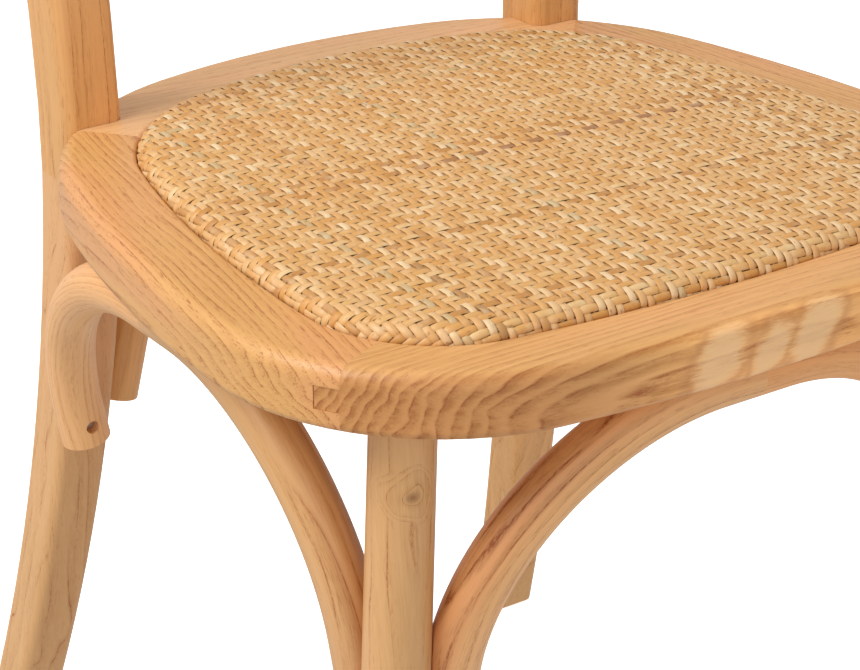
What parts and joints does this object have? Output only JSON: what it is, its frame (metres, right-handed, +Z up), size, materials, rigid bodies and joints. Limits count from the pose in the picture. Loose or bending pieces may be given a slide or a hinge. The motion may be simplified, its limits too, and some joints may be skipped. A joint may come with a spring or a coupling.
{
  "type": "dining chair",
  "caption": "Armless wooden dining chair with a bent hoop back, a woven rattan back panel, a drop-in woven rattan seat pad and bent arch braces under the seat.",
  "frame": {"origin": "on the floor, under the middle of the chair's overall width and depth", "axes": "+Z up, -Y towards the front of the seat, +X to the right for someone who looks at the chair's front"},
  "size_m": [0.4896, 0.5314, 0.8899],
  "materials": {
    "wood": "light honey hardwood with a satin clear finish",
    "plywood": "bare plywood",
    "foam": "upholstery foam under the woven cover",
    "rattan": "split rattan strands in a twill weave, clear coated",
    "steel": "zinc plated screws, bolts and nails",
    "glide": "dark moulded plastic"
  },
  "bodies": {
    "root": {"seat_rail_front": "wood", "seat_rail_rear": "wood", "seat_rail_left": "wood", "seat_rail_right": "wood", "seat_board": "plywood", "seat_foam": "foam", "seat_weave": "rattan", "seat_board_screws": "steel", "front_leg_left": "wood", "front_leg_right": "wood", "rear_leg_left": "wood", "rear_leg_right": "wood", "back_hoop": "wood", "back_rail": "wood", "back_weave": "rattan", "back_reed": "rattan", "front_brace_left": "wood", "front_brace_right": "wood", "rear_brace_left": "wood", "rear_brace_right": "wood", "side_brace_left_front": "wood", "side_brace_left_rear": "wood", "side_brace_right_front": "wood", "side_brace_right_rear": "wood", "crown_dowels": "wood", "brace_leg_screws": "steel", "brace_rail_screws": "steel", "post_bolts": "steel", "post_barrel_nuts": "steel", "post_dowels": "wood", "foot_glides": "glide", "glide_nails": "steel"}
  },
  "joints": []
}
